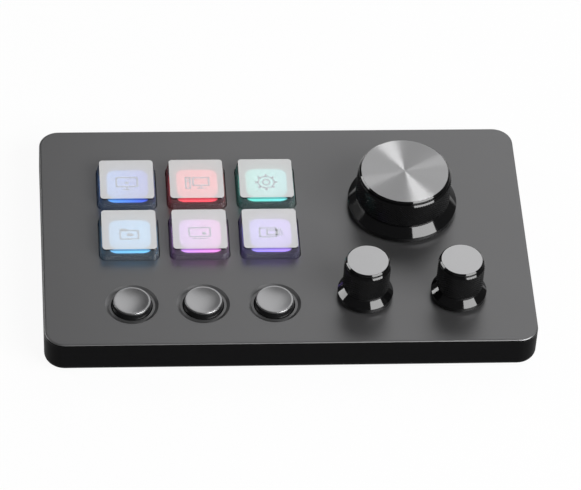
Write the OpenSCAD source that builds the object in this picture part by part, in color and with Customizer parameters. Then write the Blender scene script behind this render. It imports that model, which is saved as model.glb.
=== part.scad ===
// Desk keypad with six lit display keys, three round buttons and three turn-and-press knobs.
// Millimetres, +Z up. The feet stand on z = 0 and the origin is under the middle of the case.

/* [Case] */
// Width of the case, left to right
case_w = 133; // [128:0.5:150]
// Depth of the case, front to back
case_d = 81.5; // [80:0.5:95]
// Height of the case, without its feet
case_h = 10; // [9.6:0.1:12]
// Radius of the four upright corners
corner_r = 5.5; // [4.5:0.1:7]
// Rounding of the face plate's edge
face_round = 0.6; // [0.3:0.05:0.7]
// Rounding of the case's lower edge
base_round = 2; // [1.5:0.1:2.2]
// Thickness of the side walls
wall_t = 2; // [1.6:0.1:2.4]
// Thickness of the grey face plate
face_t = 0.8; // [0.75:0.05:1]
// Thickness of the housing's deck under the face plate
deck_t = 1.2; // [1:0.05:1.3]
// Thickness of the bottom cover's floor
floor_t = 1.5; // [1.2:0.1:1.6]
// Height of the rubber feet below the case
foot_h = 1; // [0.6:0.1:2]
// Radius of a rubber foot
foot_r = 5; // [3.5:0.1:6]
// Distance of a foot's middle from the case's sides
foot_inset = 13.5; // [12.5:0.5:16]
// Distance of a case screw from the case's sides
screw_inset = 6.8; // [6.4:0.1:7.2]

/* [Display keys] */
// Distance of the middle key column from the case's middle, to the left
keys_left = 23.5; // [21:0.05:26]
// Back key row's distance from the back
keys_from_back = 22.68; // [21:0.02:26]
// Distance between key columns
key_pitch_x = 19.25; // [19:0.05:20]
// Distance between key rows
key_pitch_y = 19.34; // [19:0.02:20]
// Width of a key where it leaves the face plate
key_base = 16.2; // [15.6:0.1:16.6]
// Width of a key's top face
key_top = 15; // [14.2:0.1:15.4]
// Corner radius of a key's top face
key_top_r = 1.2; // [0.8:0.1:1.5]
// Rounding of a key's top edge
key_edge = 0.25; // [0.1:0.05:0.4]
// Height of a key's top face above the face plate
key_h = 3.6; // [3:0.1:5]
// Travel of a key
key_travel = 1.2; // [0.6:0.1:1.3]
// Thickness of the clear block over a display
lens_t = 2.6; // [2:0.05:2.8]
// Thickness of a display
display_t = 0.8; // [0.5:0.05:0.9]
// Thickness of a key cap's side walls at its pocket
key_wall = 1.2; // [1:0.05:1.4]

/* [Round buttons] */
// Distance of the button row from the front
buttons_from_front = 14.9; // [13.5:0.05:18]
// Radius of a button cap where it leaves the face plate
button_r = 5.45; // [4.8:0.05:5.8]
// Radius of a button cap's top edge
button_top_r = 5; // [4.4:0.05:5.2]
// Height of a button's rim above the face plate
button_h = 1.55; // [1.2:0.05:2.2]
// Radius of the hollow in a button's top
dish_r = 4.5; // [3.5:0.1:4.6]
// Depth of the hollow in a button's top
dish_depth = 0.35; // [0.15:0.05:0.6]
// Radius of the sunk ring round a button
ring_r = 7.2; // [6.8:0.05:7.8]
// Depth of the sunk ring
ring_depth = 0.45; // [0.3:0.05:0.5]
// Travel of a button
button_travel = 0.6; // [0.3:0.05:0.7]

/* [Knobs] */
// Distance of the large knob's axis from the case's middle, to the right
knob_right = 33.15; // [30:0.05:36]
// Distance of the large knob's axis from the back
knob_from_back = 30; // [26:0.05:32]
// Distance of the small knobs' axes from the front
small_from_front = 17.45; // [16:0.05:19]
// Distance between the small knobs' axes
small_pitch = 25.4; // [22:0.1:30]
// Radius of the large knob's skirt
big_skirt_r = 15.05; // [14.6:0.05:16]
// Radius of the large knob's grip
big_grip_r = 13.05; // [12:0.05:13.6]
// Radius of the large knob's metal disc
big_disc_r = 11.95; // [10.5:0.05:12.1]
// Height of the large knob's top above the face plate
big_top = 13.3; // [13.1:0.1:16]
// Radius of a small knob's skirt
small_skirt_r = 7.55; // [7.4:0.05:8.5]
// Radius of a small knob's grip
small_grip_r = 6.4; // [6.2:0.05:6.8]
// Radius of a small knob's metal disc
small_disc_r = 5.5; // [4.8:0.05:5.6]
// Height of a small knob's top above the face plate
small_top = 13.5; // [13.1:0.1:16]
// Gap between a knob's skirt and the face plate
knob_gap = 0.75; // [0.7:0.05:1.2]
// Travel of a knob when it is pressed
knob_travel = 0.45; // [0.2:0.05:0.45]
// Height of a skirt's upright rim, from the face plate
skirt_rim_h = 2; // [1.6:0.1:2.4]
// Height where a skirt's slope meets the grip
skirt_h = 4.6; // [4.2:0.1:5]
// Grip ribs round the large knob
big_ribs = 80; // [60:2:110]
// Grip ribs round a small knob
small_ribs = 40; // [30:2:56]
// Depth of the grooves between the ribs
rib_depth = 0.25; // [0.1:0.01:0.3]
// Height of the smooth crown above the grip
crown_h = 1; // [0.8:0.05:1.3]
// Width of the bevel round a knob's disc
bevel = 0.45; // [0.25:0.05:0.55]
// Thickness of a knob's metal disc
disc_t = 0.8; // [0.5:0.05:1]

/* [Encoders] */
// Radius of an encoder's shaft
shaft_r = 3; // [2.6:0.05:3.05]
// Depth of the flat on a shaft
shaft_flat = 1.5; // [0.8:0.1:1.8]
// Outer radius of an encoder's bushing
bushing_r = 3.5; // [3.45:0.01:3.7]
// Height of a bushing above the face plate
bushing_h = 4; // [3.5:0.1:4.2]
// Width of an encoder's body
encoder_w = 11.7; // [11:0.1:13]
// Running clearance between a shaft and its bushing, on the radius
running = 0.05; // [0.02:0.01:0.1]
// Width of an encoder's nut across its flats
nut_flats = 10; // [9:0.1:10.4]

/* [Board] */
// Thickness of the circuit board
board_t = 1.2; // [0.8:0.1:1.4]
// Height of the board above the bottom cover's floor
board_lift = 1.5; // [1.4:0.1:1.7]
// Thickness of the silicone mat
mat_t = 0.5; // [0.3:0.05:0.6]
// Width of the socket's metal shell
usb_w = 8.94; // [8.9:0.01:9]
// Height of the socket's metal shell
usb_h = 3.26; // [3.2:0.01:3.3]
// Depth of the socket's metal shell
usb_d = 7.35; // [6.5:0.05:8]
// Distance of the socket from the middle, to the right
usb_x = 0; // [-8:0.5:6]

/* [Hidden] */
$fn = 96;

// Clearances: one body sliding in another, one piece seated in another, and two flat stops
slide_gap = 0.2;
seat_gap = 0.05;
stop_gap = 0.05;
cut = 1;

// Levels, from the table up
face_top = foot_h + case_h;
face_low = face_top - face_t;
deck_low = face_low - deck_t;
seam_z = foot_h + base_round;
floor_top = foot_h + floor_t;
board_low = floor_top + board_lift;
board_top = board_low + board_t;
mat_top = board_top + mat_t;

// The cover's locating lip, just inside the walls
lip_gap = 0.1;
lip_t = 1;
lip_top = board_low - lip_gap;

// Where the keys, buttons and knobs stand
key_cols = [for (i = [-1:1]) i * key_pitch_x - keys_left];
key_rows = [for (i = [0:1]) case_d / 2 - keys_from_back - i * key_pitch_y];
key_spots = [for (y = key_rows) for (x = key_cols) [x, y]];
button_y = buttons_from_front - case_d / 2;
button_spots = [for (x = key_cols) [x, button_y]];
small_y = small_from_front - case_d / 2;
main_spot = [knob_right, case_d / 2 - knob_from_back];
left_spot = [knob_right - small_pitch / 2, small_y];
right_spot = [knob_right + small_pitch / 2, small_y];
knob_spots = [main_spot, left_spot, right_spot];

// A key: cap outside, frame inside, a flange that stops under the deck
key_base_r = key_top_r + (key_base - key_top) / 2;
window_w = key_base + 2 * slide_gap;
window_r = key_base_r + slide_gap;
lens_low = key_h - lens_t;
pocket_w = key_base - 2 * key_wall;
pocket_r = key_base_r - key_wall + 0.4;
core_w = pocket_w - 2 * seat_gap;
core_r = pocket_r - seat_gap;
cap_skirt = 1;
key_gap = min(key_pitch_x, key_pitch_y) - key_base;
flange_w = key_base + 0.46 * key_gap;
flange_t = 0.8;
flange_top = deck_low - stop_gap;
flange_low = flange_top - flange_t;
well_gap = 0.25;
well_w = flange_w + 2 * well_gap;
well_r = key_base_r + 0.6;
guide_rim = 1.2;
guide_reach = well_w / 2 + guide_rim;
frame_roof = 1.3;
post_r = 2;
key_post_low = flange_low - 0.3;
frame_hollow_w = 9;

// A display's tail comes down through a slot in the key's frame to a socket on the board
tail_w = 6;
tail_t = 0.15;
tail_y = key_base / 2 - 2.2;
tail_slot_t = 0.7;
tail_slot_w = tail_w + 0.6;
tail_bow = 0.8;
tail_socket_h = 1;
tail_socket_d = 1.6;
tail_socket_w = tail_w + 1;
tail_grip = 0.4;

// A silicone dome: foot radius, head radius, wall
dome_r = 4;
dome_head_r = 2;
dome_wall = 0.5;
dome_head_t = 0.6;
pill_gap = 0.9;
mat_rim = 1;

// A button: cap, flange and the collar that guides it
button_hole_r = button_r + slide_gap;
collar_wall = 1;
collar_low = deck_low - 1.4;
button_flange_r = button_hole_r + 0.9;
button_flange_t = 0.6;
button_flange_top = collar_low - stop_gap;
button_wall = 1;
button_roof = 1;
button_edge = 0.2;
stem_r = 1.6;
button_stem_low = button_flange_top - button_flange_t - 0.1;
ring_floor_r = ring_r - 0.9;

// An encoder: collar on the shaft's foot, flange on the bushing, push plunger below
bushing_hole_r = bushing_r + 0.1;
bushing_flange_r = bushing_r + 1.1;
bushing_flange_t = 0.6;
shaft_collar_r = shaft_r + 0.7;
shaft_collar_t = 0.9;
shaft_collar_top = deck_low - bushing_flange_t - stop_gap;
shaft_low = shaft_collar_top - shaft_collar_t;
collar_room_r = shaft_collar_r + 0.3;
collar_room_low = shaft_low - knob_travel - stop_gap;
plunger_r = 1.5;
plunger_low = board_top + 0.2 + knob_travel + 0.1;
washer_r = nut_flats / 2 + 0.3;
washer_t = 0.4;
nut_t = 1.8;
nut_top = face_top + washer_t + nut_t;
nut_corner_r = nut_flats / 2 / cos(30);

// Inside a knob: room for the nut, room for the bushing, and the bore on the shaft
nut_room_top = nut_top + knob_travel + 0.25;
nut_room_r = nut_corner_r + 0.4;
bushing_room_r = bushing_r + 0.5;
hub_low = face_top + bushing_h + knob_travel + 0.5;
hub_r = shaft_r + 2;
hub_roof = 1.2;
knob_fit = 0.02;
knob_wall = 1.8;
neck_groove = 0.3;
rib_bevel = 0.45;
rim_edge = 0.15;

// Fasteners
case_screw_r = 1;
case_head_r = 1.9;
case_head_h = 1.3;
case_boss_r = 2.8;
case_pad_r = 3.4;
head_room = 0.2;
case_pad_top = board_low;
screw_tip = deck_low - 1;
board_screw_r = 0.8;
board_head_r = 1.7;
board_head_h = 0.9;
board_boss_r = 2.3;
thread_gap = 0.02;
case_screw_spots = [for (x = [-1, 1]) for (y = [-1, 1])
    [x * (case_w / 2 - screw_inset), y * (case_d / 2 - screw_inset)]];
foot_spots = [for (x = [-1, 1]) for (y = [-1, 1])
    [x * (case_w / 2 - foot_inset), y * (case_d / 2 - foot_inset)]];
foot_sink = 0.5;
part_gap = 0.6;
boss_reach = board_boss_r + part_gap;
back_space_y = (key_rows[0] + guide_reach + case_d / 2 - wall_t) / 2;
front_space_y = (button_y - ring_r - case_d / 2 + wall_t) / 2;
board_screw_spots = [
    [key_cols[0] - guide_reach - boss_reach, key_rows[1]],
    [key_cols[2] + guide_reach + boss_reach, key_rows[1]],
    [right_spot[0] + encoder_w / 2, key_rows[1]],
    [usb_x + usb_w / 2 + boss_reach, back_space_y],
    [key_cols[0] + key_pitch_x / 2, front_space_y]
];

// Parts soldered on the board, between the encoders and beside the socket
chip_w = 9;
chip_h = 0.9;
chip_lift = 0.1;
lead_w = 0.3;
lead_t = 0.25;
lead_reach = 0.7;
lead_pitch = 0.7;
lead_last = floor((chip_w / 2 - lead_w) / lead_pitch) - 1;
open_y = (main_spot[1] + small_y) / 2;
coil_w = 4;
coil_h = 2;
port_chip = [5, 3.2, 1.2];
small_part = [1, 1.6, 0.7];
filter_part = [1.6, 0.8, 0.8];

// The socket in the back wall
usb_z = board_top + usb_h / 2;
usb_face_y = case_d / 2 - 0.3;
usb_shell_t = 0.3;
usb_tongue_w = 6.7;
usb_tongue_t = 0.7;
usb_cut_gap = 0.35;
usb_back_t = 1.2;
usb_mouth = 0.9;
usb_plug_t = 1;

// A rectangle with round corners
module rounded_rect(w, d, r) {
    square([w - 2 * r, d], center = true);
    square([w, d - 2 * r], center = true);
    for (x = [-1, 1]) {
        for (y = [-1, 1]) {
            translate([x * (w / 2 - r), y * (d / 2 - r)]) circle(r);
        }
    }
}

// An upright block with round corners, from level low to level high
module rounded_block(w, d, r, low, high) {
    translate([0, 0, low]) linear_extrude(high - low) rounded_rect(w, d, r);
}

// Sweeps an edge profile round a rounded rectangle. The profile's x runs from the corners' centres
// outwards, its y is the height, and it fills x = 0 from level low to level high.
module swept_block(w, d, r, low, high) {
    run_x = w - 2 * r;
    run_y = d - 2 * r;
    translate([-run_x / 2, -run_y / 2, low]) cube([run_x, run_y, high - low]);
    for (turn = [0:3]) {
        along = turn % 2 == 0 ? run_y : run_x;
        out = turn % 2 == 0 ? run_x / 2 : run_y / 2;
        rotate([0, 0, 90 * turn]) translate([out, 0, 0]) {
            translate([0, along / 2, 0]) rotate([90, 0, 0]) linear_extrude(along) children();
            translate([0, along / 2, 0]) rotate_extrude(angle = 90) children();
        }
    }
}

module disc(r, low, high) {
    translate([0, 0, low]) cylinder(r = r, h = high - low);
}

module at(spots) {
    for (spot = spots) {
        translate([spot[0], spot[1], 0]) children();
    }
}

// A screw standing on its head: the head hangs below level seat, the shank rises to level tip
module screw(head_r, head_h, shank_r, seat, tip) {
    slot_w = head_r * 0.28;
    slot_l = head_r * 1.2;
    difference() {
        union() {
            disc(head_r, seat - head_h, seat);
            disc(shank_r, seat - head_h / 2, tip);
        }
        translate([-slot_l / 2, -slot_w / 2, seat - head_h - cut]) cube([slot_l, slot_w, cut + head_h * 0.45]);
        translate([-slot_w / 2, -slot_l / 2, seat - head_h - cut]) cube([slot_w, slot_l, cut + head_h * 0.45]);
    }
}

// ---- Case ----

module face_profile() {
    square([corner_r, face_t - face_round]);
    square([corner_r - face_round, face_t]);
    translate([corner_r - face_round, face_t - face_round]) circle(face_round);
}

module face_plate() {
    color([0.38, 0.38, 0.4]) difference() {
        translate([0, 0, face_low]) swept_block(case_w, case_d, corner_r, 0, face_t) {
            intersection() {
                face_profile();
                square([corner_r, face_t]);
            }
        }
        at(key_spots) rounded_block(window_w, window_w, window_r, face_low - cut, face_top + cut);
        at(button_spots) {
            disc(button_hole_r, face_low - cut, face_top + cut);
            translate([0, 0, face_top - ring_depth]) cylinder(r1 = ring_floor_r, r2 = ring_r, h = ring_depth);
            disc(ring_r, face_top, face_top + cut);
        }
        at(knob_spots) disc(bushing_hole_r, face_low - cut, face_top + cut);
    }
}

module housing() {
    color([0.07, 0.07, 0.075]) difference() {
        union() {
            difference() {
                rounded_block(case_w, case_d, corner_r, seam_z, face_low);
                rounded_block(case_w - 2 * wall_t, case_d - 2 * wall_t, corner_r - wall_t, seam_z - cut, deck_low);
            }
            at(button_spots) disc(button_hole_r + collar_wall, collar_low, deck_low + cut / 2);
            at(case_screw_spots) disc(case_boss_r, case_pad_top + stop_gap, deck_low + cut / 2);
            at(board_screw_spots) disc(board_boss_r, board_top, deck_low + cut / 2);
        }
        at(key_spots) rounded_block(window_w, window_w, window_r, deck_low - cut, face_low + cut);
        at(button_spots) disc(button_hole_r, collar_low - cut, face_low + cut);
        at(knob_spots) disc(bushing_hole_r, deck_low - cut, face_low + cut);
        at(case_screw_spots) disc(case_screw_r + thread_gap, case_pad_top - cut, screw_tip + 0.3);
        at(board_screw_spots) disc(board_screw_r + thread_gap, board_top - cut, screw_tip + 0.3);
        usb_opening();
    }
}

module cover_profile() {
    difference() {
        square([corner_r, base_round]);
        translate([corner_r - base_round, 0]) difference() {
            square([base_round + cut, base_round]);
            translate([0, base_round]) circle(base_round);
        }
    }
}

module bottom_cover() {
    lip_in = wall_t + lip_gap;
    lip_r = corner_r - lip_in;
    color([0.05, 0.05, 0.055]) difference() {
        union() {
            difference() {
                union() {
                    translate([0, 0, foot_h]) swept_block(case_w, case_d, corner_r, 0, base_round) cover_profile();
                    rounded_block(case_w - 2 * lip_in, case_d - 2 * lip_in, lip_r, seam_z - 0.5, lip_top);
                }
                rounded_block(case_w - 2 * (lip_in + lip_t), case_d - 2 * (lip_in + lip_t), lip_r - lip_t,
                    floor_top, lip_top + cut);
            }
            at(case_screw_spots) disc(case_pad_r, floor_top - 0.5, case_pad_top);
        }
        at(case_screw_spots) {
            disc(case_head_r + head_room, foot_h - cut, foot_h + case_head_h + head_room);
            disc(case_screw_r + head_room, foot_h, case_pad_top + cut);
        }
        at(foot_spots) disc(foot_r + 0.1, foot_h - cut, foot_h + foot_sink);
    }
}

module rubber_feet() {
    edge = 0.4;
    color([0.12, 0.12, 0.12]) at(foot_spots) {
        cylinder(r1 = foot_r - edge, r2 = foot_r, h = edge);
        disc(foot_r, edge, foot_h + foot_sink);
    }
}

module case_screws() {
    color([0.55, 0.55, 0.57]) at(case_screw_spots) {
        screw(case_head_r, case_head_h, case_screw_r, foot_h + case_head_h + head_room, screw_tip);
    }
}

// ---- Board ----

module main_board() {
    edge = wall_t + 0.4;
    color([0.05, 0.22, 0.12]) difference() {
        rounded_block(case_w - 2 * edge, case_d - 2 * edge, corner_r - edge, board_low, board_top);
        at(case_screw_spots) disc(case_boss_r + 0.4, board_low - cut, board_top + cut);
        at(board_screw_spots) disc(board_screw_r + 0.15, board_low - cut, board_top + cut);
    }
}

module board_screws() {
    color([0.6, 0.6, 0.62]) at(board_screw_spots) {
        screw(board_head_r, board_head_h, board_screw_r, board_low, screw_tip);
    }
}

module main_chip() {
    color([0.08, 0.08, 0.09]) translate([left_spot[0], open_y, board_top]) {
        translate([-chip_w / 2, -chip_w / 2, chip_lift]) cube([chip_w, chip_w, chip_h]);
        for (turn = [0:3]) {
            rotate([0, 0, 90 * turn]) for (i = [-lead_last:lead_last]) {
                translate([chip_w / 2 - lead_w, i * lead_pitch - lead_w / 2, 0])
                    cube([lead_w + lead_reach, lead_w, lead_t]);
            }
        }
    }
}

// A part on the board, standing on the middle of its foot
module board_part(x, y, part) {
    translate([x - part[0] / 2, y - part[1] / 2, board_top]) cube(part);
}

module board_parts() {
    color([0.45, 0.4, 0.33]) {
        for (i = [1:4]) {
            board_part(usb_x - usb_w / 2 - i * 2 * filter_part[0], back_space_y, filter_part);
        }
        for (i = [-2:2]) {
            board_part(knob_right + i * 2 * small_part[0], open_y, small_part);
        }
        board_part(right_spot[0], open_y + coil_w / 2 + part_gap, [coil_w, coil_w, coil_h]);
        board_part(right_spot[0], open_y - port_chip[1] / 2 - part_gap, port_chip);
    }
}

module usb_outline(grow) {
    rounded_rect(usb_w + 2 * grow, usb_h + 2 * grow, usb_h / 2 + grow - 0.01);
}

// Lays an outline drawn in x and z along y, from y1 to y2
module along_y(y1, y2) {
    translate([usb_x, y2, usb_z]) rotate([90, 0, 0]) linear_extrude(y2 - y1) children();
}

module usb_opening() {
    along_y(case_d / 2 - wall_t - cut, case_d / 2 + cut) usb_outline(usb_cut_gap);
}

module usb_socket() {
    color([0.62, 0.62, 0.64]) difference() {
        along_y(usb_face_y - usb_d, usb_face_y) usb_outline(0);
        along_y(usb_face_y - usb_d + usb_back_t, usb_face_y + cut) usb_outline(-usb_shell_t);
    }
}

module usb_tongue() {
    back_y = usb_face_y - usb_d + usb_back_t;
    color([0.1, 0.1, 0.1]) {
        along_y(back_y, usb_face_y - usb_mouth) square([usb_tongue_w, usb_tongue_t], center = true);
        along_y(back_y, back_y + usb_plug_t) usb_outline(-usb_shell_t - seat_gap);
    }
}

// ---- Key mechanism ----

module key_guide() {
    guide_w = 2 * (key_pitch_x + guide_reach);
    guide_d = key_pitch_y + 2 * guide_reach;
    mid = [key_cols[1], (key_rows[0] + key_rows[1]) / 2];
    color([0.16, 0.16, 0.17]) difference() {
        translate([mid[0], mid[1], 0]) rounded_block(guide_w, guide_d, well_r, mat_top, deck_low);
        at(key_spots) rounded_block(well_w, well_w, well_r, mat_top - cut, deck_low + cut);
    }
}

// One silicone dome as a spun profile: a thin cone, a head, and the contact pill inside it
module dome(top) {
    head_low = top - dome_head_t;
    rotate_extrude() union() {
        polygon([
            [dome_r, board_top],
            [dome_r, mat_top],
            [dome_head_r, top],
            [0, top],
            [0, head_low],
            [dome_head_r - dome_wall, head_low],
            [dome_r - dome_wall, mat_top - 0.1],
            [dome_r - dome_wall, board_top]
        ]);
        translate([0, board_top + pill_gap]) square([dome_head_r * 0.55, top - board_top - pill_gap]);
    }
}

module dome_mat() {
    left = key_cols[0] - well_w / 2 - mat_rim;
    right = key_cols[2] + well_w / 2 + mat_rim;
    back = key_rows[0] + well_w / 2 + mat_rim;
    front = button_y - dome_r - mat_rim;
    color([0.75, 0.75, 0.72]) {
        difference() {
            translate([(left + right) / 2, (back + front) / 2, 0])
                rounded_block(right - left, back - front, well_r, board_top, mat_top);
            at(concat(key_spots, button_spots)) disc(dome_r - dome_wall / 2, board_top - cut, mat_top + cut);
            at(key_spots) tail_socket_space(0.3, mat_top + cut);
            at(board_screw_spots) disc(board_boss_r + 0.3, board_top - cut, mat_top + cut);
        }
        at(key_spots) dome(key_post_low);
        at(button_spots) dome(button_stem_low);
    }
}

// The space of a tail's socket, grown by a gap
module tail_socket_space(gap, high) {
    translate([-tail_socket_w / 2 - gap, tail_y - tail_socket_d / 2 - gap, board_top - cut])
        cube([tail_socket_w + 2 * gap, tail_socket_d + 2 * gap, high - board_top + cut]);
}

module display_sockets() {
    color([0.85, 0.83, 0.78]) at(key_spots) difference() {
        translate([-tail_socket_w / 2, tail_y - tail_socket_d / 2, board_top])
            cube([tail_socket_w, tail_socket_d, tail_socket_h]);
        translate([-tail_w / 2 - 0.1, tail_y - tail_t / 2 - 0.05, board_top + tail_grip])
            cube([tail_w + 0.2, tail_t + 0.1, tail_socket_h]);
    }
}

// A tail's middle line from its socket to the display: straight, one slack bow, straight
function tail_line(low, high, top) = concat(
    [[0, board_top + tail_grip]],
    [for (i = [0:8]) [-tail_bow * sin(i * 22.5), low + (high - low) * i / 8]],
    [[0, top]]
);

module display_tails() {
    low = board_top + tail_socket_h + 0.2;
    line = tail_line(low, flange_low, face_top + lens_low - display_t);
    color([0.75, 0.45, 0.15]) at(key_spots) {
        translate([-tail_w / 2, tail_y, 0]) rotate([90, 0, 90]) linear_extrude(tail_w) polygon(concat(
            [for (p = line) [p[0] - tail_t / 2, p[1]]],
            [for (i = [len(line) - 1:-1:0]) [line[i][0] + tail_t / 2, line[i][1]]]
        ));
    }
}

// The cap's side as a profile: upright in its window, sloping above the plate, round at the top edge
module cap_profile() {
    slope = (key_base_r - key_top_r) / key_h;
    lean = atan(slope);
    mid_x = key_top_r + key_edge * slope - key_edge / cos(lean);
    mid_y = key_h - key_edge;
    steps = 4;
    polygon(concat(
        [[0, -cap_skirt], [key_base_r, -cap_skirt], [key_base_r, 0]],
        [for (i = [0:steps]) let (a = lean + (90 - lean) * i / steps)
            [mid_x + key_edge * cos(a), mid_y + key_edge * sin(a)]],
        [[0, key_h]]
    ));
}

module keycap(i) {
    color([0.85, 0.87, 0.9, 0.45]) translate([key_spots[i][0], key_spots[i][1], face_top]) difference() {
        swept_block(key_base, key_base, key_base_r, -cap_skirt, key_h) cap_profile();
        rounded_block(pocket_w, pocket_w, pocket_r, -cap_skirt - cut, lens_low);
    }
}

DISPLAY_COLORS = [
    [0.55, 0.5, 0.95], [0.95, 0.45, 0.5], [0.45, 0.85, 0.75],
    [0.5, 0.75, 0.95], [0.9, 0.6, 0.9], [0.65, 0.5, 0.95]
];

module display(i) {
    high = face_top + lens_low;
    color(DISPLAY_COLORS[i]) translate([key_spots[i][0], key_spots[i][1], 0])
        rounded_block(core_w, core_w, core_r, high - display_t, high);
}

module key_frame(i) {
    shoulder = face_top - cap_skirt;
    core_top = face_top + lens_low - display_t;
    color([0.05, 0.05, 0.055]) translate([key_spots[i][0], key_spots[i][1], 0]) {
        difference() {
            union() {
                rounded_block(flange_w, flange_w, key_base_r, flange_low, flange_top);
                rounded_block(key_base, key_base, key_base_r, flange_low, shoulder);
                rounded_block(core_w, core_w, core_r, flange_low, core_top);
            }
            rounded_block(frame_hollow_w, frame_hollow_w, 1, flange_low - cut, core_top - frame_roof);
            translate([-tail_slot_w / 2, tail_y - tail_slot_t / 2, flange_low - cut])
                cube([tail_slot_w, tail_slot_t, core_top - flange_low + 2 * cut]);
        }
        disc(post_r, key_post_low, core_top - frame_roof / 2);
    }
}

// ---- Buttons ----

module button_cap(i) {
    rim_z = face_top + button_h;
    flange_z = button_flange_top - button_flange_t;
    ring_z = face_top - ring_depth;
    dish_ball = (dish_r * dish_r + dish_depth * dish_depth) / (2 * dish_depth);
    roof_low = rim_z - dish_depth - button_roof;
    color([0.2, 0.2, 0.21]) translate([button_spots[i][0], button_spots[i][1], 0]) {
        difference() {
            union() {
                disc(button_flange_r, flange_z, button_flange_top);
                disc(button_r, flange_z, ring_z);
                translate([0, 0, ring_z]) rotate_extrude() button_profile(rim_z - ring_z);
            }
            translate([0, 0, rim_z - dish_depth + dish_ball]) sphere(dish_ball, $fn = 360);
            disc(button_r - button_wall, flange_z - cut, roof_low);
        }
        disc(stem_r, button_stem_low, roof_low + button_roof / 2);
    }
}

// A button's side above the sunk ring: a slope with a rounded top edge
module button_profile(h) {
    slope = (button_r - button_top_r) / h;
    lean = atan(slope);
    mid_x = button_top_r + button_edge * slope - button_edge / cos(lean);
    steps = 4;
    polygon(concat(
        [[0, 0], [button_r, 0]],
        [for (i = [0:steps]) let (a = lean + (90 - lean) * i / steps)
            [mid_x + button_edge * cos(a), h - button_edge + button_edge * sin(a)]],
        [[0, h]]
    ));
}

// ---- Encoders and knobs ----

module encoder(spot) {
    corner = 0.8;
    color([0.5, 0.5, 0.52]) translate([spot[0], spot[1], 0]) difference() {
        rounded_block(encoder_w, encoder_w, corner, board_top, deck_low);
        disc(bushing_flange_r + seat_gap, deck_low - bushing_flange_t, deck_low + cut);
        disc(collar_room_r, collar_room_low, deck_low);
        disc(plunger_r + running, board_top + 0.2, deck_low);
    }
}

module bushing(spot) {
    color([0.7, 0.68, 0.6]) translate([spot[0], spot[1], 0]) difference() {
        union() {
            disc(bushing_flange_r, deck_low - bushing_flange_t, deck_low);
            disc(bushing_r, deck_low - bushing_flange_t, face_top + bushing_h);
        }
        disc(shaft_r + running, deck_low - bushing_flange_t - cut, face_top + bushing_h + cut);
    }
}

module encoder_nuts() {
    color([0.72, 0.72, 0.74]) at(knob_spots) difference() {
        union() {
            disc(washer_r, face_top, face_top + washer_t);
            translate([0, 0, face_top + washer_t]) cylinder(r = nut_corner_r, h = nut_t, $fn = 6);
        }
        disc(bushing_r + thread_gap, face_top - cut, nut_top + cut);
    }
}

module plunger(spot) {
    color([0.85, 0.85, 0.85]) translate([spot[0], spot[1], 0]) disc(plunger_r, plunger_low, shaft_low);
}

// The shaft's section above the bushing: round with one flat
module flatted(r, flat) {
    difference() {
        circle(r);
        translate([r - flat, -r - cut]) square([flat + cut, 2 * r + 2 * cut]);
    }
}

module shaft(spot, top) {
    flat_low = hub_low - 0.2;
    tip = face_top + top - disc_t - hub_roof - stop_gap;
    color([0.75, 0.75, 0.77]) translate([spot[0], spot[1], 0]) {
        disc(shaft_collar_r, shaft_low, shaft_collar_top);
        disc(shaft_r, shaft_low, flat_low);
        translate([0, 0, flat_low]) linear_extrude(tip - flat_low) flatted(shaft_r, shaft_flat);
    }
}

// The grip's section: a ring of fine ribs
module ribbed(r, ribs) {
    polygon([for (i = [0:2 * ribs - 1]) let (a = i * 180 / ribs, reach = i % 2 == 0 ? r : r - rib_depth)
        [reach * cos(a), reach * sin(a)]]);
}

// The grip: ribs from the skirt to the crown, bevelled where they end
module grip(r, ribs, high) {
    low = skirt_h - 0.2;
    intersection() {
        translate([0, 0, low]) linear_extrude(high - low) ribbed(r, ribs);
        rotate_extrude() polygon([
            [0, low - cut],
            [r + cut, low - cut],
            [r + cut, high - rib_bevel - cut],
            [r - rib_bevel, high],
            [0, high]
        ]);
    }
}

module knob(spot, skirt_r, grip_r, disc_r, top, ribs) {
    crown_low = top - crown_h;
    rim_r = disc_r + 0.05;
    neck_r = rim_r + bevel;
    bore_top = top - disc_t - hub_roof;
    side_r = grip_r - knob_wall;
    color([0.06, 0.06, 0.065]) translate([spot[0], spot[1], face_top]) difference() {
        union() {
            rotate_extrude() polygon([
                [0, knob_gap],
                [skirt_r - rim_edge, knob_gap],
                [skirt_r, knob_gap + rim_edge],
                [skirt_r, skirt_rim_h - rim_edge],
                [skirt_r - rim_edge, skirt_rim_h],
                [grip_r - rib_depth / 2, skirt_h],
                [0, skirt_h]
            ]);
            grip(grip_r, ribs, crown_low);
            rotate_extrude() polygon([
                [0, crown_low - 0.5],
                [neck_r - neck_groove, crown_low - 0.5],
                [neck_r - neck_groove, top - bevel - 0.1],
                [neck_r, top - bevel],
                [rim_r, top],
                [0, top]
            ]);
        }
        disc(disc_r + knob_fit, top - disc_t, top + cut);
        disc(nut_room_r, -cut, nut_room_top - face_top);
        disc(bushing_room_r, 0, hub_low - face_top);
        translate([0, 0, hub_low - face_top - cut]) linear_extrude(bore_top - hub_low + face_top + cut)
            flatted(shaft_r + knob_fit, shaft_flat);
        if (side_r > hub_r + 1.5) {
            difference() {
                disc(side_r, -cut, bore_top - 1);
                disc(hub_r, hub_low - face_top, top);
            }
        }
    }
}

module knob_disc(spot, disc_r, top) {
    color([0.72, 0.72, 0.73]) translate([spot[0], spot[1], 0]) {
        disc(disc_r, face_top + top - disc_t, face_top + top);
    }
}

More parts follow.
